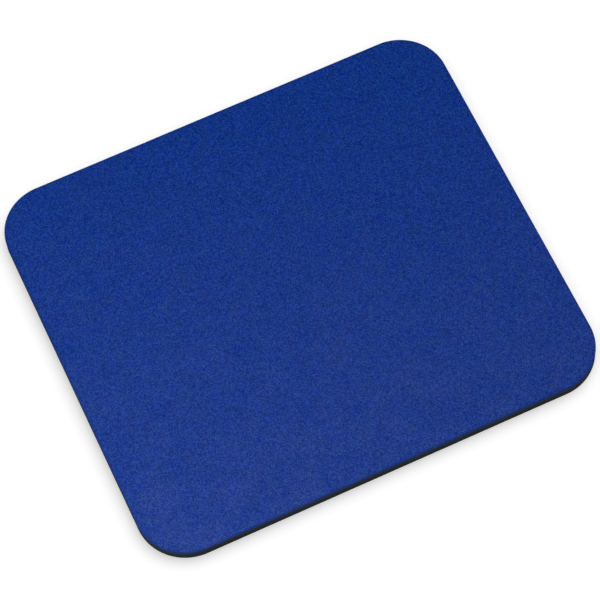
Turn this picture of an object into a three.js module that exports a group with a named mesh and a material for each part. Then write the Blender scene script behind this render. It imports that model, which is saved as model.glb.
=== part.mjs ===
// Mouse pad: a knitted cloth top, bonded by an adhesive film to a sponge rubber base.
// Sizes are in millimetres and +Z is up. The origin is the middle of the underside,
// and +X runs along the pad's longer side.
import * as THREE from "three";

// Outline, cut through all the layers with one stroke of a die
const PAD_WIDTH = 228.6;
const PAD_DEPTH = 203.2;
const CORNER_RADIUS = 24;

// Layers, from the desk up
const BASE_THICKNESS = 5.0;
const FILM_THICKNESS = 0.1;
const CLOTH_THICKNESS = 0.9;

// Cut edge: the sponge draws in between its two faces when the die lets go of it,
// and the die presses the rim of the cloth down into a rounded shoulder.
const WALL_DISH = 0.3;
const SHOULDER_WIDTH = 0.8;
const SHOULDER_DROP = 0.5;

// Fineness of the curves
const CORNER_SEGMENTS = 10;
const WALL_BANDS = 6;
const SHOULDER_BANDS = 5;

// Levels at which the layers meet
const FILM_LEVEL = BASE_THICKNESS;
const CLOTH_LEVEL = FILM_LEVEL + FILM_THICKNESS;
const TOP_LEVEL = CLOTH_LEVEL + CLOTH_THICKNESS;

// The corner arcs turn about these centres, one in each quarter of the pad.
const CENTRE_X = PAD_WIDTH / 2 - CORNER_RADIUS;
const CENTRE_Y = PAD_DEPTH / 2 - CORNER_RADIUS;

function padOutline() {
  const quarter = Math.PI / 2;
  const outline = new THREE.Shape();
  outline.absarc(CENTRE_X, CENTRE_Y, CORNER_RADIUS, 0, quarter);
  outline.absarc(-CENTRE_X, CENTRE_Y, CORNER_RADIUS, quarter, 2 * quarter);
  outline.absarc(-CENTRE_X, -CENTRE_Y, CORNER_RADIUS, 2 * quarter, 3 * quarter);
  outline.absarc(CENTRE_X, -CENTRE_Y, CORNER_RADIUS, 3 * quarter, 4 * quarter);
  return outline;
}

// A layer is a stack of rims from the bottom up. A rim is the pad's outline at one level,
// drawn in all round by its inset. The extrusion gives one ring of points to each rim.
function layerGeometry(rims) {
  const bands = rims.length - 1;
  const geometry = new THREE.ExtrudeGeometry(padOutline(), {
    depth: bands,
    steps: bands,
    curveSegments: CORNER_SEGMENTS,
    bevelEnabled: false,
  });
  const points = geometry.getAttribute("position");
  const point = new THREE.Vector2();
  const centre = new THREE.Vector2();
  for (let i = 0; i < points.count; i += 1) {
    const rim = rims[Math.round(points.getZ(i))];
    point.set(points.getX(i), points.getY(i));
    centre.x = THREE.MathUtils.clamp(point.x, -CENTRE_X, CENTRE_X);
    centre.y = THREE.MathUtils.clamp(point.y, -CENTRE_Y, CENTRE_Y);
    point.sub(centre).setLength(CORNER_RADIUS - rim.inset).add(centre);
    points.setXYZ(i, point.x, point.y, rim.level);
  }
  geometry.computeVertexNormals();
  return geometry;
}

// The sponge's wall is a shallow hollow, deepest half way up.
function baseRims() {
  const rims = [];
  for (let band = 0; band <= WALL_BANDS; band += 1) {
    const share = band / WALL_BANDS;
    rims.push({
      level: share * FILM_LEVEL,
      inset: WALL_DISH * Math.sin(share * Math.PI),
    });
  }
  return rims;
}

function filmRims() {
  return [
    { level: FILM_LEVEL, inset: 0 },
    { level: CLOTH_LEVEL, inset: 0 },
  ];
}

// The cloth rises straight from the film, then turns in over a quarter of an ellipse.
function clothRims() {
  const drop = Math.min(SHOULDER_DROP, CLOTH_THICKNESS);
  const rims = [{ level: CLOTH_LEVEL, inset: 0 }];
  const start = drop < CLOTH_THICKNESS ? 0 : 1;
  for (let band = start; band <= SHOULDER_BANDS; band += 1) {
    const turn = (band / SHOULDER_BANDS) * (Math.PI / 2);
    rims.push({
      level: TOP_LEVEL - drop * (1 - Math.sin(turn)),
      inset: SHOULDER_WIDTH * (1 - Math.cos(turn)),
    });
  }
  return rims;
}

function layer(name, rims, finish) {
  const mesh = new THREE.Mesh(layerGeometry(rims), new THREE.MeshStandardMaterial(finish));
  mesh.name = name;
  return mesh;
}

const mousePad = new THREE.Group();
mousePad.add(
  layer("foam_base", baseRims(), { color: 0x24282b, roughness: 0.92, metalness: 0 }),
  layer("adhesive_film", filmRims(), { color: 0x16181c, roughness: 0.45, metalness: 0 }),
  layer("cloth_top", clothRims(), { color: 0x1e3b86, roughness: 0.96, metalness: 0 }),
);

export default mousePad;
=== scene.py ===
"""A cloth-faced mouse pad in a white studio, seen from the photograph's angle.

The cloth and the sponge base are modelled here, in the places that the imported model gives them.
Lengths are in metres. The pad lies on the floor at z = 0, with its longer side along X.
"""
import math
from typing import NamedTuple

import bpy
from mathutils import Matrix, Vector, noise
from mathutils.geometry import delaunay_2d_cdt


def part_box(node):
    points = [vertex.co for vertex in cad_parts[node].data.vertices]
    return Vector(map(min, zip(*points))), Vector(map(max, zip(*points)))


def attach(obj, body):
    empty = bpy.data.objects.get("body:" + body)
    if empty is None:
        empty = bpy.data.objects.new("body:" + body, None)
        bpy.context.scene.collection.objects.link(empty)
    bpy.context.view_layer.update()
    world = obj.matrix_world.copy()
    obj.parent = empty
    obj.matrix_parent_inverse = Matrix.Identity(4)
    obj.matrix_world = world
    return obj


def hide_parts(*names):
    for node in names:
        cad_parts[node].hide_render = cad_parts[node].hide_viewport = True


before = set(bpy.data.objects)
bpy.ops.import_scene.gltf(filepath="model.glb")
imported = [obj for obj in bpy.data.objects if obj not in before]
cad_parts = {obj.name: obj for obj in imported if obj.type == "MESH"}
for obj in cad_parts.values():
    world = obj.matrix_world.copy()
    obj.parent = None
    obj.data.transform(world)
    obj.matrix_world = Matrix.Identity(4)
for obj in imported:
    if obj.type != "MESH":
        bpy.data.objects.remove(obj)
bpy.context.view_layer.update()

MM = 0.001


def srgb(red, green, blue):
    """The linear colour of an sRGB one given in steps of 0 to 255."""
    def linear(step):
        share = step / 255
        return share / 12.92 if share <= 0.04045 else ((share + 0.055) / 1.055) ** 2.4
    return (linear(red), linear(green), linear(blue), 1.0)


class Ripple(NamedTuple):
    """Smooth unevenness: how high its bumps are, about how long, and the seed that places them."""
    height: float
    length: float
    seed: float

    def at(self, point):
        """How far the surface strays at a point, one way or the other."""
        shift = Vector((self.seed, -self.seed, 0.5 * self.seed))
        return self.height * noise.noise(point / self.length + shift)


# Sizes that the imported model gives
_, BASE_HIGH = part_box("foam_base")
CLOTH_LOW, CLOTH_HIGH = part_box("cloth_top")
HALF_WIDTH = BASE_HIGH.x
HALF_DEPTH = BASE_HIGH.y
BASE_TOP = BASE_HIGH.z
CLOTH_FOOT = CLOTH_LOW.z
CLOTH_FACE = CLOTH_HIGH.z

# The cut edge
CORNER_RADIUS = 24 * MM
CENTRE_X = HALF_WIDTH - CORNER_RADIUS
CENTRE_Y = HALF_DEPTH - CORNER_RADIUS
WALL_DISH = 0.3 * MM
SHOULDER_WIDTH = 0.8 * MM
SHOULDER_DROP = 0.5 * MM
FACE_INSET = 2 * SHOULDER_WIDTH
SKIN_INSET = 0.4 * MM

# Unevenness of the real thing; the wall strays less at its two rims than in the middle
FACE_SWELL = Ripple(0.075 * MM, 42 * MM, 3.0)
FACE_RIPPLE = Ripple(0.025 * MM, 14 * MM, 11.0)
CLOTH_RAG = Ripple(0.05 * MM, 1.6 * MM, 5.0)
WALL_WANDER = Ripple(0.09 * MM, 7 * MM, 2.0)
WALL_TEAR = Ripple(0.10 * MM, 1.5 * MM, 7.0)
WALL_RIM_SHARE = 0.3

# Grip pattern pressed into the underside
GRIP_PITCH = 5.0 * MM
GRIP_RISE = GRIP_PITCH * math.sqrt(0.75)
GRIP_WIDTH = 3.6 * MM
GRIP_FLOOR_WIDTH = 2.6 * MM
GRIP_DEPTH = 0.35 * MM
GRIP_MARGIN = 4.0 * MM

# Fineness of the meshes
CLOTH_EDGE_STEP = 0.7 * MM
CLOTH_FACE_STEP = 1.6 * MM
FACE_GRID_MARGIN = FACE_INSET + 0.7 * CLOTH_FACE_STEP
SHOULDER_RINGS = 6
WALL_STEP = 0.6 * MM
WALL_RINGS = 13
CLOTH_CREASE = math.radians(60)
SPONGE_CREASE = math.radians(30)

# How a flat face is filled: with triangles inside its outline, and points joined only where they meet
FILL_INSIDE = 1
WELD_DISTANCE = 1e-9

# Marks on the meshes that the materials read: 1 on the cut edge, and 0 on the faces
CLOTH_MARK = "rim"
SPONGE_MARK = "cut"
SHOULDER_TOP_MARK = 0.2

# Texture maps of the pieces, in shares of the picture
MAP_NAME = "OFBake"
MAP_MARGIN = 0.004
MAP_STRIPS = 4
CLOTH_STRIP = 0.02
WALL_STRIP = 0.05

# The panel of the face that shows has a width that keeps the stitches out of step with the pixels
SHOWN_SHARE = 0.66
SHOWN_PANEL = (MAP_MARGIN, SHOWN_SHARE - MAP_MARGIN)
BONDED_PANEL = (SHOWN_SHARE + MAP_MARGIN, 1 - MAP_MARGIN)

# Knit of the cloth: one wale is a column of stitches, one course is a row of them
WALE = 0.48 * MM
COURSE = 0.39 * MM
KNIT_DRIFT_LENGTH = 9 * MM
STITCH_SLANT = 0.8
STITCH_RELIEF = 0.075 * MM
LOOP_ON_RELIEF = (0.4, 1.0)
# Painted shade: the stitch relief darkens the colour in the hollows and lightens it on the crests
RELIEF_SHADE_ON_TONE = (0.6, 1.3)
STITCH_TONE_POWER = 1.5
FIBRE_LENGTH = 0.16 * MM
FIBRE_ON_TONE = 0.15
FIBRE_ON_RELIEF = 0.3

# Dye of the cloth, in two shades that drift into each other: for dark stitches and for light ones
DYE_PATCH_LENGTH = 5 * MM
DARK_STITCH_DYES = (srgb(0, 33, 111), srgb(0, 31, 131))
LIGHT_STITCH_DYES = (srgb(40, 79, 146), srgb(34, 77, 172))
CLOTH_SURFACE = {
    "Roughness": 0.9,
    "Specular IOR Level": 0.0,
    "Sheen Weight": 0.2,
    "Sheen Roughness": 0.35,
    "Sheen Tint": srgb(190, 205, 240),
}

# Cut yarn at the rim of the cloth, with painted shade that darkens the rim and the rounded shoulder
YARN_END_LENGTH = 0.24 * MM
YARN_END_ROUNDING = (0.1, 0.6)
CUT_YARN_FADE = (0.2, 0.8)
CUT_YARN_AND_SHADE_TINT = 0.6
CUT_YARN_AND_SHADE_COLOUR = srgb(8, 20, 62)

# Painted sheen: the cloth is painted paler towards the front left, in patches, as the sheen of the light
# there
PAINTED_SHEEN_WAY = (-0.28, -0.96, 0.0)
PAINTED_SHEEN_START = -105 * MM
PAINTED_SHEEN_END = 125 * MM
PAINTED_SHEEN_POWER = 1.15
PAINTED_SHEEN_SHARE = 0.020
SHEEN_PATCH_LENGTH = 12 * MM
SHEEN_IN_PATCHES = (0.2, 1.8)
SHEEN_ON_TONE = (0.63, 1.58)
PAINTED_SHEEN_COLOUR = srgb(215, 220, 230)

# Sponge rubber: open cells and blade marks on the cut wall, a fine grain in the moulded skin; the open
# cells are painted dark, as painted shade in the pores
CELL_LENGTHS = (0.65 * MM, 0.24 * MM)
CELL_EDGE = (0.20, 0.60)
CELL_DEPTHS = (0.10, 0.60)
PAINTED_PIT_SHADE = (1.0, 0.1)
CELL_WARP = 0.5 * MM
CELL_WARP_LENGTH = 0.9 * MM
BLADE_LENGTH = 0.8 * MM
BLADE_STRETCH = (1.0, 1.0, 0.08)
BLADE_SHADE = (0.7, 1.3)
SKIN_LENGTH = 0.3 * MM
SKIN_ON_WALL = (0.5, 1.5)
SPONGE_PATCH_LENGTH = 14 * MM
SPONGE_PATCH_SHADE = (0.75, 1.25)
SPONGE_RELIEF = 0.12 * MM
SPONGE_COLOURS = (srgb(3, 6, 7), srgb(38, 48, 50))
SPONGE_SURFACE = {"Roughness": 0.92, "Specular IOR Level": 0.12}

# Adhesive film, with beads where it was squeezed out of the cut
BEAD_LENGTH = 1.2 * MM
BEAD_SPAN = (0.3, 0.7)
BEAD_RELIEF = 0.03 * MM
FILM_COLOURS = (srgb(6, 8, 16), srgb(20, 24, 38))
FILM_ROUGHNESS = (0.45, 0.7)
FILM_SHINE = 0.2

# Studio
WHITE = (1.0, 1.0, 1.0, 1.0)
AMBIENT = 0.56
SUN_SHARE = 0.20
SUN_ELEVATION = math.radians(52)
SUN_AZIMUTH = math.radians(130)
SUN_SOFTNESS = math.radians(60)
FILL_POWER = 0.89
FILL_SIZE = 0.30
FILL_PLACE = Vector((-0.30, -0.20, 0.30))
FLOOR_REACH = 60.0
FLOOR_LIFT = 0.36
FLOOR_SURFACE = {
    "Base Color": (0.92, 0.92, 0.92, 1.0),
    "Roughness": 1.0,
    "Specular IOR Level": 0.0,
    "Emission Color": WHITE,
}

# Camera of the photograph
CAMERA_AIM = Vector((-1.22, -7.25, 6.0)) * MM
CAMERA_DISTANCE = 1425.2 * MM
CAMERA_AZIMUTH = math.radians(-19.147)
CAMERA_ELEVATION = math.radians(64.271)
CAMERA_ROLL = math.radians(-5.99)
CAMERA_LENS = 183.39
CAMERA_SENSOR = 36.0


# Materials

class Nodes:
    """A node tree. A call adds a node or a few, and mostly gives back an output socket."""

    def __init__(self, tree):
        self.tree = tree

    def node(self, kind, inputs=(), **settings):
        node = self.tree.nodes.new(kind)
        for name, value in settings.items():
            setattr(node, name, value)
        for socket, value in inputs:
            self.feed(node.inputs[socket], value)
        return node

    def feed(self, socket, value):
        """Links a socket to another one, or sets its value."""
        if isinstance(value, bpy.types.NodeSocket):
            self.tree.links.new(value, socket)
        else:
            socket.default_value = value

    def place(self):
        return self.node("ShaderNodeTexCoord").outputs["Object"]

    def attribute(self, name):
        return self.node("ShaderNodeAttribute", attribute_name=name).outputs["Fac"]

    def seen_directly(self):
        """1 for rays that show the background: straight from the camera, or by way of gloss or glass."""
        path = self.node("ShaderNodeLightPath").outputs
        either = path["Is Camera Ray"]
        for name in ("Is Glossy Ray", "Is Transmission Ray"):
            either = self.math("MAXIMUM", either, path[name])
        return either

    def math(self, operation, *values):
        return self.node("ShaderNodeMath", enumerate(values), operation=operation).outputs[0]

    def product(self, first, *others):
        for other in others:
            first = self.math("MULTIPLY", first, other)
        return first

    def arch(self, value):
        """Half a wave: 0 at 0 and 1, and 1 half way."""
        return self.math("SINE", self.math("MULTIPLY", value, math.pi))

    def between(self, value, ends):
        """A number that goes from one end to the other as the value goes from 0 to 1, and on past them."""
        start, end = ends
        return self.math("MULTIPLY_ADD", value, end - start, start)

    def ramp(self, value, span, ends=(0.0, 1.0)):
        """A number that goes from one end to the other as the value crosses a span, and stops there."""
        return self.node("ShaderNodeMapRange", enumerate((value, *span, *ends))).outputs[0]

    def vector_math(self, operation, *values):
        return self.node("ShaderNodeVectorMath", enumerate(values), operation=operation).outputs

    def scaled(self, place, factors):
        return self.vector_math("MULTIPLY", place, factors)["Vector"]

    def reach(self, place, way):
        """How far a place lies along a way."""
        return self.vector_math("DOT_PRODUCT", place, way)["Value"]

    def split(self, place):
        return self.node("ShaderNodeSeparateXYZ", [(0, place)]).outputs

    def joined(self, x, y, z):
        return self.node("ShaderNodeCombineXYZ", enumerate((x, y, z))).outputs[0]

    def noise(self, place, length, detail=2.0):
        """Noise from 0 to 1, with bumps about this long, and finer ones on them where detail is above 0."""
        inputs = (("Vector", place), ("Scale", 1 / length), ("Detail", detail))
        return self.node("ShaderNodeTexNoise", inputs).outputs[0]

    def warped(self, place, length, distance):
        """A place, shifted by waves about this long."""
        waves = self.node("ShaderNodeTexNoise", (("Vector", place), ("Scale", 1 / length)))
        return self.vector_math("MULTIPLY_ADD", waves.outputs["Color"], (distance,) * 3, place)["Vector"]

    def white(self, place):
        """A random number from 0 to 1 for each place."""
        return self.node("ShaderNodeTexWhiteNoise", [("Vector", place)]).outputs["Value"]

    def cells(self, place, length):
        """Round cells about this long: the distance from their middles, and a colour for each."""
        inputs = (("Vector", place), ("Scale", 1 / length))
        return self.node("ShaderNodeTexVoronoi", inputs).outputs

    def pits(self, place, length):
        """Round pits, each with a depth of its own: 0 between them, and 1 in the deepest."""
        cells = self.cells(place, length)
        bowl = self.ramp(cells["Distance"], CELL_EDGE, (1.0, 0.0))
        return self.product(bowl, self.ramp(cells["Color"], CELL_DEPTHS))

    def blend(self, share, first, second):
        """Two numbers, mixed. The sockets of this node go by number, because they share their names."""
        return self.node("ShaderNodeMix", ((0, share), (2, first), (3, second))).outputs[0]

    def mix(self, share, first, second):
        """Two colours, mixed."""
        inputs = ((0, share), (6, first), (7, second))
        return self.node("ShaderNodeMix", inputs, data_type="RGBA").outputs[2]


class Finish(Nodes):
    """A material, as a node tree that feeds its shader."""

    def __init__(self, name):
        self.material = bpy.data.materials.new(name)
        self.material.use_nodes = True
        super().__init__(self.material.node_tree)
        self.shader = self.tree.nodes["Principled BSDF"]

    def set(self, values):
        """Sets or links sockets of the shader, by name."""
        for name, value in values.items():
            self.feed(self.shader.inputs[name], value)

    def bump(self, height, distance):
        inputs = (("Height", height), ("Distance", distance))
        self.set({"Normal": self.node("ShaderNodeBump", inputs).outputs[0]})


def stitches(cloth, place):
    """Slanted stitch legs in columns: their relief, and a tone for each stitch."""
    x, y, _ = cloth.split(place)
    drift = cloth.noise(place, KNIT_DRIFT_LENGTH, detail=1.0)
    wales = cloth.math("MULTIPLY_ADD", x, 1 / WALE, drift)
    courses = cloth.math("MULTIPLY_ADD", y, 1 / COURSE, drift)
    # Across a wale, side goes from 0 to 1 and back
    side = cloth.math("MULTIPLY", cloth.math("PINGPONG", wales, 0.5), 2.0)
    along = cloth.math("MULTIPLY_ADD", side, STITCH_SLANT, courses)
    loop = cloth.arch(cloth.math("FRACT", along))
    relief = cloth.product(cloth.arch(side), cloth.between(loop, LOOP_ON_RELIEF))
    stitch = cloth.joined(cloth.math("FLOOR", wales), cloth.math("FLOOR", along), 0.0)
    tone = cloth.math("POWER", cloth.white(stitch), STITCH_TONE_POWER)
    return relief, tone


def painted_sheen(cloth, place, tone):
    """The share of painted sheen at a place: paler towards the front left, in patches, and more on lighter
    stitches.
    """
    sheen_ramp = cloth.ramp(cloth.reach(place, PAINTED_SHEEN_WAY), (PAINTED_SHEEN_START, PAINTED_SHEEN_END))
    patches = cloth.between(cloth.noise(place, SHEEN_PATCH_LENGTH), SHEEN_IN_PATCHES)
    by_tone = cloth.between(tone, SHEEN_ON_TONE)
    return cloth.product(patches, by_tone, cloth.math("POWER", sheen_ramp, PAINTED_SHEEN_POWER), PAINTED_SHEEN_SHARE)


def knit_cloth():
    """Fine jersey, each stitch a little lighter or darker, with painted shade in the stitch hollows, cut
    yarn and painted shade at the rim, and painted sheen towards the front.
    """
    cloth = Finish("knit_cloth")
    place = cloth.place()
    relief, tone = stitches(cloth, place)
    rim = cloth.attribute(CLOTH_MARK)
    yarn_ends = cloth.cells(place, YARN_END_LENGTH)
    relief = cloth.blend(rim, relief, cloth.ramp(yarn_ends["Distance"], YARN_END_ROUNDING, (1.0, 0.0)))
    tone = cloth.blend(cloth.ramp(rim, CUT_YARN_FADE), tone, yarn_ends["Color"])
    fibres = cloth.noise(place, FIBRE_LENGTH)
    tone = cloth.blend(FIBRE_ON_TONE, tone, fibres)
    # Painted shade from the stitch relief: darker in the hollows, lighter on the crests
    tone = cloth.product(tone, cloth.between(relief, RELIEF_SHADE_ON_TONE))
    dye = cloth.noise(place, DYE_PATCH_LENGTH, detail=1.0)
    colour = cloth.mix(tone, cloth.mix(dye, *DARK_STITCH_DYES), cloth.mix(dye, *LIGHT_STITCH_DYES))
    # Painted sheen: the colour is paled towards the front left
    colour = cloth.mix(painted_sheen(cloth, place, tone), colour, PAINTED_SHEEN_COLOUR)
    # Darker rim and shoulder: partly the colour of the cut yarn, partly painted shade on the rounded edge
    colour = cloth.mix(cloth.product(rim, CUT_YARN_AND_SHADE_TINT), colour, CUT_YARN_AND_SHADE_COLOUR)
    cloth.set({"Base Color": colour, **CLOTH_SURFACE})
    cloth.bump(cloth.math("MULTIPLY_ADD", fibres, FIBRE_ON_RELIEF, relief), STITCH_RELIEF)
    return cloth.material


def sponge_rubber():
    """Charcoal sponge: open cells painted dark as shade in the pores, and faint blade marks on the cut
    wall, a fine skin underneath.
    """
    sponge = Finish("sponge_rubber")
    place = sponge.place()
    warped = sponge.warped(place, CELL_WARP_LENGTH, CELL_WARP)
    # Painted shade: the colour goes dark inside the open cells
    cells = [sponge.between(sponge.pits(warped, length), PAINTED_PIT_SHADE) for length in CELL_LENGTHS]
    marks = sponge.noise(sponge.scaled(place, BLADE_STRETCH), BLADE_LENGTH, detail=3.0)
    skin = sponge.noise(place, SKIN_LENGTH)
    wall = sponge.product(*cells, sponge.between(marks, BLADE_SHADE), sponge.between(skin, SKIN_ON_WALL))
    height = sponge.blend(sponge.attribute(SPONGE_MARK), skin, wall)
    patches = sponge.noise(place, SPONGE_PATCH_LENGTH, detail=3.0)
    tone = sponge.product(height, sponge.between(patches, SPONGE_PATCH_SHADE))
    sponge.set({"Base Color": sponge.mix(tone, *SPONGE_COLOURS), **SPONGE_SURFACE})
    sponge.bump(height, SPONGE_RELIEF)
    return sponge.material


def adhesive():
    """Dark hot-melt film, a little glossier where it was squeezed out of the cut."""
    film = Finish("adhesive")
    beads = film.noise(film.place(), BEAD_LENGTH, detail=3.0)
    film.set({
        "Base Color": film.mix(beads, *FILM_COLOURS),
        "Roughness": film.ramp(beads, BEAD_SPAN, FILM_ROUGHNESS),
        "Specular IOR Level": FILM_SHINE,
    })
    film.bump(beads, BEAD_RELIEF)
    return film.material


# Shapes

def edge_stations(step):
    """Round the pad, anticlockwise: a point CORNER_RADIUS inside the cut edge, and the way out."""
    stations = []
    quarter = math.pi / 2
    corners = [(1, 1), (-1, 1), (-1, -1), (1, -1)]
    centres = [Vector((x * CENTRE_X, y * CENTRE_Y)) for x, y in corners]
    for turn, centre in enumerate(centres):
        steps = round(CORNER_RADIUS * quarter / step)
        for i in range(steps):
            angle = (turn + i / steps) * quarter
            stations.append((centre, Vector((math.cos(angle), math.sin(angle)))))
        angle = (turn + 1) * quarter
        way_out = Vector((math.cos(angle), math.sin(angle)))
        ahead = centres[(turn + 1) % 4]
        steps = round((ahead - centre).length / step)
        for i in range(steps):
            stations.append((centre.lerp(ahead, i / steps), way_out))
    return stations


def edge_point(station, inset, level=0.0):
    """A point this far inside the cut edge, at a level."""
    core, way_out = station
    flat = core + way_out * (CORNER_RADIUS - inset)
    return Vector((flat.x, flat.y, level))


def inside_pad(point, margin):
    """Whether a point lies inside the cut edge by at least a margin."""
    x = max(abs(point.x) - CENTRE_X, 0)
    y = max(abs(point.y) - CENTRE_Y, 0)
    return math.hypot(x, y) <= CORNER_RADIUS - margin


def staggered(pitch, rise, margin):
    """Points in staggered rows, inside the cut edge by at least a margin."""
    points = []
    rows = int(HALF_DEPTH / rise) + 1
    columns = int(HALF_WIDTH / pitch) + 1
    for row in range(-rows, rows + 1):
        shift = 0.5 * (row % 2)
        for column in range(-columns, columns + 1):
            point = Vector(((column + shift) * pitch, row * rise, 0.0))
            if inside_pad(point, margin):
                points.append(point)
    return points


class Shell:
    """Points and faces of a piece, gathered ring by ring.

    Its texture map is laid out on the way: the cut edge in strips along the foot of the picture, the face
    that shows over them, and the bonded face squeezed in beside it.
    """

    def __init__(self, strip):
        self.strip = strip
        self.points = []
        self.marks = []
        self.faces = []
        self.map = []

    def add(self, points, mark):
        """Adds points that share a mark, and gives back their indices."""
        first = len(self.points)
        self.points += points
        self.marks += [mark] * len(points)
        return range(first, len(self.points))

    def bands(self, rings):
        """Quads from ring to ring, which run anticlockwise, facing out."""
        count = len(rings[0])
        width = 1 - 2 * MAP_MARGIN
        height = (self.strip - MAP_MARGIN) / (len(rings) - 1)
        for level, (lower, upper) in enumerate(zip(rings, rings[1:])):
            for i in range(count):
                j = (i + 1) % count
                self.faces.append((lower[i], lower[j], upper[j], upper[i]))
                strip = i * MAP_STRIPS // count
                left = MAP_MARGIN + width * (i * MAP_STRIPS / count - strip)
                right = left + width * MAP_STRIPS / count
                foot = MAP_MARGIN + self.strip * strip + height * level
                head = foot + height
                self.map += [(left, foot), (right, foot), (right, head), (left, head)]

    def cap(self, ring, facing_up, panel, inner=(), loops=()):
        """Triangles over a ring and the points inside it, whose loops are kept as edges."""
        kept = [*ring, *inner]
        flat = [self.points[index].to_2d() for index in kept]
        number = {index: i for i, index in enumerate(kept)}
        edges = []
        for loop in (ring, *loops):
            ends = [number[index] for index in loop]
            edges += zip(ends, [*ends[1:], ends[0]])
        _, _, triangles, origins, *_ = delaunay_2d_cdt(flat, edges, [], FILL_INSIDE, WELD_DISTANCE)
        for triangle in triangles:
            face = [kept[origins[corner][0]] for corner in triangle]
            if not facing_up:
                face.reverse()
            self.faces.append(face)
            self.map += [self.on_panel(self.points[index], facing_up, panel) for index in face]

    def on_panel(self, point, facing_up, panel):
        """Where a point of a flat face lies on the texture map."""
        left, right = panel
        foot = MAP_STRIPS * self.strip + MAP_MARGIN
        across = 0.5 + 0.5 * point.x / HALF_WIDTH
        up = 0.5 + 0.5 * point.y / HALF_DEPTH
        if not facing_up:
            across = 1 - across
        return (left + (right - left) * across, foot + (1 - MAP_MARGIN - foot) * up)

    def piece(self, name, mark, material, crease):
        """The finished object, shaded smooth but for edges sharper than the crease angle."""
        mesh = bpy.data.meshes.new(name)
        mesh.from_pydata(self.points, [], self.faces)
        mesh.attributes.new(mark, "FLOAT", "POINT").data.foreach_set("value", self.marks)
        layer = mesh.uv_layers.new(name=MAP_NAME)
        layer.uv.foreach_set("vector", [number for place in self.map for number in place])
        mesh.polygons.foreach_set("use_smooth", [True] * len(mesh.polygons))
        mesh.set_sharp_from_angle(angle=crease)
        mesh.materials.append(material)
        piece = bpy.data.objects.new(name, mesh)
        bpy.context.scene.collection.objects.link(piece)
        return piece


def face_swell(point):
    """Gentle unevenness of the bonded face."""
    return FACE_SWELL.at(point) + FACE_RIPPLE.at(point)


def cloth_piece(material):
    """The cloth: a ragged cut edge, a pressed shoulder and a gently uneven face."""
    shell = Shell(CLOTH_STRIP)
    stations = edge_stations(CLOTH_EDGE_STEP)

    def ring(level, inset, mark):
        points = []
        height = (level - CLOTH_FOOT) / (CLOTH_FACE - CLOTH_FOOT)
        for station in stations:
            spot = edge_point(station, inset)
            rag = mark * abs(CLOTH_RAG.at(spot))
            points.append(edge_point(station, inset + rag, level + height * face_swell(spot)))
        return shell.add(points, mark)

    rings = [ring(CLOTH_FOOT, 0.0, 1.0)]
    for i in range(SHOULDER_RINGS + 1):
        share = i / SHOULDER_RINGS
        turn = share * math.pi / 2
        level = CLOTH_FACE - SHOULDER_DROP * (1 - math.sin(turn))
        inset = SHOULDER_WIDTH * (1 - math.cos(turn))
        rings.append(ring(level, inset, 1 + share * (SHOULDER_TOP_MARK - 1)))
    rings.append(ring(CLOTH_FACE, FACE_INSET, 0.0))
    shell.bands(rings)
    face = staggered(CLOTH_FACE_STEP, CLOTH_FACE_STEP, FACE_GRID_MARGIN)
    for point in face:
        point.z = CLOTH_FACE + face_swell(point)
    shell.cap(rings[-1], True, SHOWN_PANEL, shell.add(face, 0.0))
    shell.cap(rings[0], False, BONDED_PANEL)
    return shell.piece("pad_cloth", CLOTH_MARK, material, CLOTH_CREASE)


def sponge_piece(material):
    """The sponge: a dished, slightly torn cut wall, and a skin with a pressed grip pattern underneath."""
    shell = Shell(WALL_STRIP)
    stations = edge_stations(WALL_STEP)
    skin = [edge_point(station, SKIN_INSET) for station in stations]
    rings = [shell.add(skin, 0.0)]
    for i in range(WALL_RINGS + 1):
        share = i / WALL_RINGS
        hollow = math.sin(share * math.pi)
        points = []
        for station in stations:
            spot = edge_point(station, 0.0, share * BASE_TOP)
            wander = WALL_WANDER.at(spot)
            tear = max(WALL_TEAR.at(spot), 0.0)
            at_rim = WALL_RIM_SHARE * abs(wander)
            at_middle = WALL_DISH + wander + tear
            points.append(edge_point(station, hollow * at_middle + (1 - hollow) * at_rim, spot.z))
        rings.append(shell.add(points, 1.0))
    shell.bands(rings)
    shell.cap(rings[-1], True, BONDED_PANEL)
    loops = [shell.add(loop, 0.0) for loop in grip_loops()]
    inner = [index for loop in loops for index in loop]
    shell.cap(rings[0], False, SHOWN_PANEL, inner, loops)
    return shell.piece("pad_sponge", SPONGE_MARK, material, SPONGE_CREASE)


def grip_loops():
    """The mouth and the floor of each dimple, in staggered rows that stop short of the cut edge."""
    loops = []
    for middle in staggered(GRIP_PITCH, GRIP_RISE, GRIP_MARGIN + GRIP_WIDTH / 2):
        loops.append(hexagon(middle, GRIP_WIDTH, 0.0))
        loops.append(hexagon(middle, GRIP_FLOOR_WIDTH, GRIP_DEPTH))
    return loops


def hexagon(middle, width, level):
    """A hexagon with flats that face its neighbours in a staggered layout."""
    reach = width / math.sqrt(3)
    points = []
    for i in range(6):
        angle = math.pi / 6 + i * math.pi / 3
        points.append(middle + Vector((reach * math.cos(angle), reach * math.sin(angle), level)))
    return points


# Studio

def make_world():
    """White where it is seen, and a plain even light on the object."""
    world = bpy.data.worlds.new("studio")
    world.use_nodes = True
    studio = Nodes(world.node_tree)
    background = world.node_tree.nodes["Background"]
    studio.feed(background.inputs["Color"], WHITE)
    level = studio.ramp(studio.seen_directly(), (0.0, 1.0), (AMBIENT, 1.0))
    studio.feed(background.inputs["Strength"], level)
    bpy.context.scene.world = world


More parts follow.
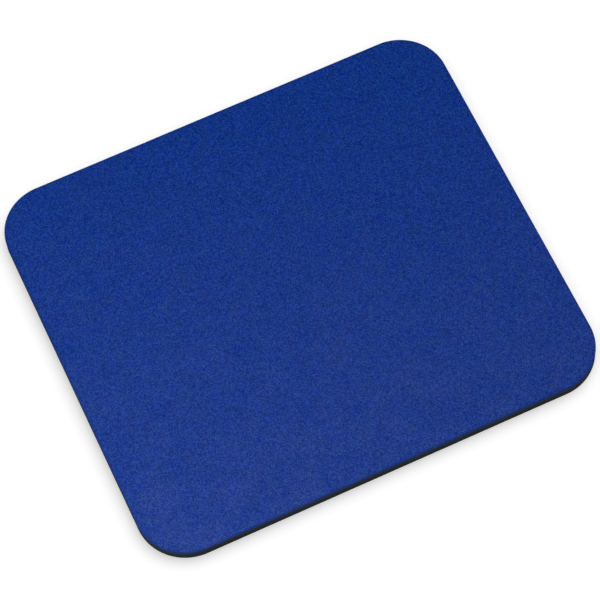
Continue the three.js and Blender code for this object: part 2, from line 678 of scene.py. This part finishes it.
def make_floor():
    """A pale floor, lifted to white where it is seen, which keeps the pad's shadow."""
    floor = Finish("studio_floor")
    lift = floor.product(floor.seen_directly(), FLOOR_LIFT)
    floor.set({**FLOOR_SURFACE, "Emission Strength": lift})
    mesh = bpy.data.meshes.new("floor")
    corners = [(-1, -1), (1, -1), (1, 1), (-1, 1)]
    mesh.from_pydata([(x * FLOOR_REACH, y * FLOOR_REACH, 0.0) for x, y in corners], [], [(0, 1, 2, 3)])
    mesh.materials.append(floor.material)
    plane = bpy.data.objects.new("floor", mesh)
    bpy.context.scene.collection.objects.link(plane)


def away(azimuth, elevation):
    """A direction from the pad: azimuth 0 is the front, -90 degrees the left."""
    flat = math.cos(elevation)
    return Vector((flat * math.sin(azimuth), -flat * math.cos(azimuth), math.sin(elevation)))


def aimed(name, data, place, target, roll=0.0):
    """A lamp or camera at a place, turned to a target."""
    thing = bpy.data.objects.new(name, data)
    turn = (target - place).to_track_quat("-Z", "Y").to_matrix().to_4x4()
    thing.matrix_world = Matrix.Translation(place) @ turn @ Matrix.Rotation(roll, 4, "Z")
    bpy.context.scene.collection.objects.link(thing)
    return thing


def make_key():
    """A soft sun from behind, on the right."""
    sun = bpy.data.lights.new("key", "SUN")
    sun.energy = SUN_SHARE * math.pi / math.sin(SUN_ELEVATION)
    sun.angle = SUN_SOFTNESS
    aimed("key", sun, away(SUN_AZIMUTH, SUN_ELEVATION), Vector())


def make_fill(pieces):
    """A near lamp at the front left. It lights these pieces alone, so the floor stays even."""
    fill = bpy.data.lights.new("fill", "AREA")
    fill.energy = FILL_POWER
    fill.size = FILL_SIZE
    lamp = aimed("fill", fill, FILL_PLACE, Vector())
    lamp.visible_camera = False
    lit = bpy.data.collections.new("lit_by_fill")
    for piece in pieces:
        lit.objects.link(piece)
    lamp.light_linking.receiver_collection = lit


def make_camera():
    camera = bpy.data.cameras.new("photo_camera")
    camera.lens = CAMERA_LENS
    camera.sensor_width = CAMERA_SENSOR
    place = CAMERA_AIM + CAMERA_DISTANCE * away(CAMERA_AZIMUTH, CAMERA_ELEVATION)
    bpy.context.scene.camera = aimed("photo_camera", camera, place, CAMERA_AIM, CAMERA_ROLL)


# The pad

make_camera()
make_world()
make_floor()
bpy.context.scene.view_settings.view_transform = "Standard"

cloth = cloth_piece(knit_cloth())
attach(cloth, "root")
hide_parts("cloth_top")

sponge = sponge_piece(sponge_rubber())
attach(sponge, "root")
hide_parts("foam_base")

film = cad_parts["adhesive_film"]
film.data.materials.clear()
film.data.materials.append(adhesive())

make_key()
make_fill((cloth, sponge, film))
